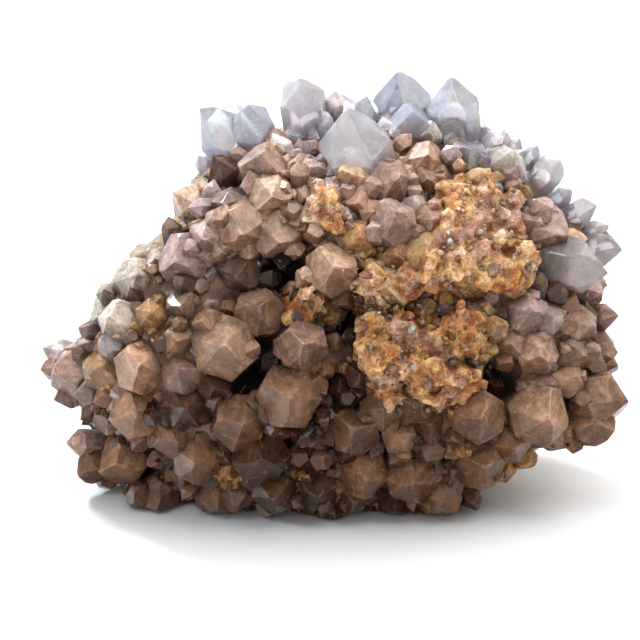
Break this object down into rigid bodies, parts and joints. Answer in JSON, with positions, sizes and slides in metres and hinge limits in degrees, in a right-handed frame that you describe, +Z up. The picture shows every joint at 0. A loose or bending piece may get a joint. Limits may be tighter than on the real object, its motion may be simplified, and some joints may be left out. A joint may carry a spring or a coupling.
{
  "type": "amethyst crystal cluster",
  "caption": "Free-standing natural cluster of stubby six-sided amethyst points grown over a lump of iron-stained host rock, for display or as scene dressing",
  "frame": {"origin": "on the flat spot of the host rock that the cluster rests on, below the middle of the body", "axes": "+Z up, +X along the cluster's length, the crystal front faces -Y"},
  "size_m": [0.1441, 0.0857, 0.1022],
  "materials": {
    "host_rock": "rough broken rock with ochre iron staining",
    "amethyst": "translucent natural crystal faces, pale lilac on the crest and mauve-brown below"
  },
  "bodies": {
    "root": {"matrix": "host_rock", "amethyst_crystals": "amethyst"}
  },
  "joints": []
}
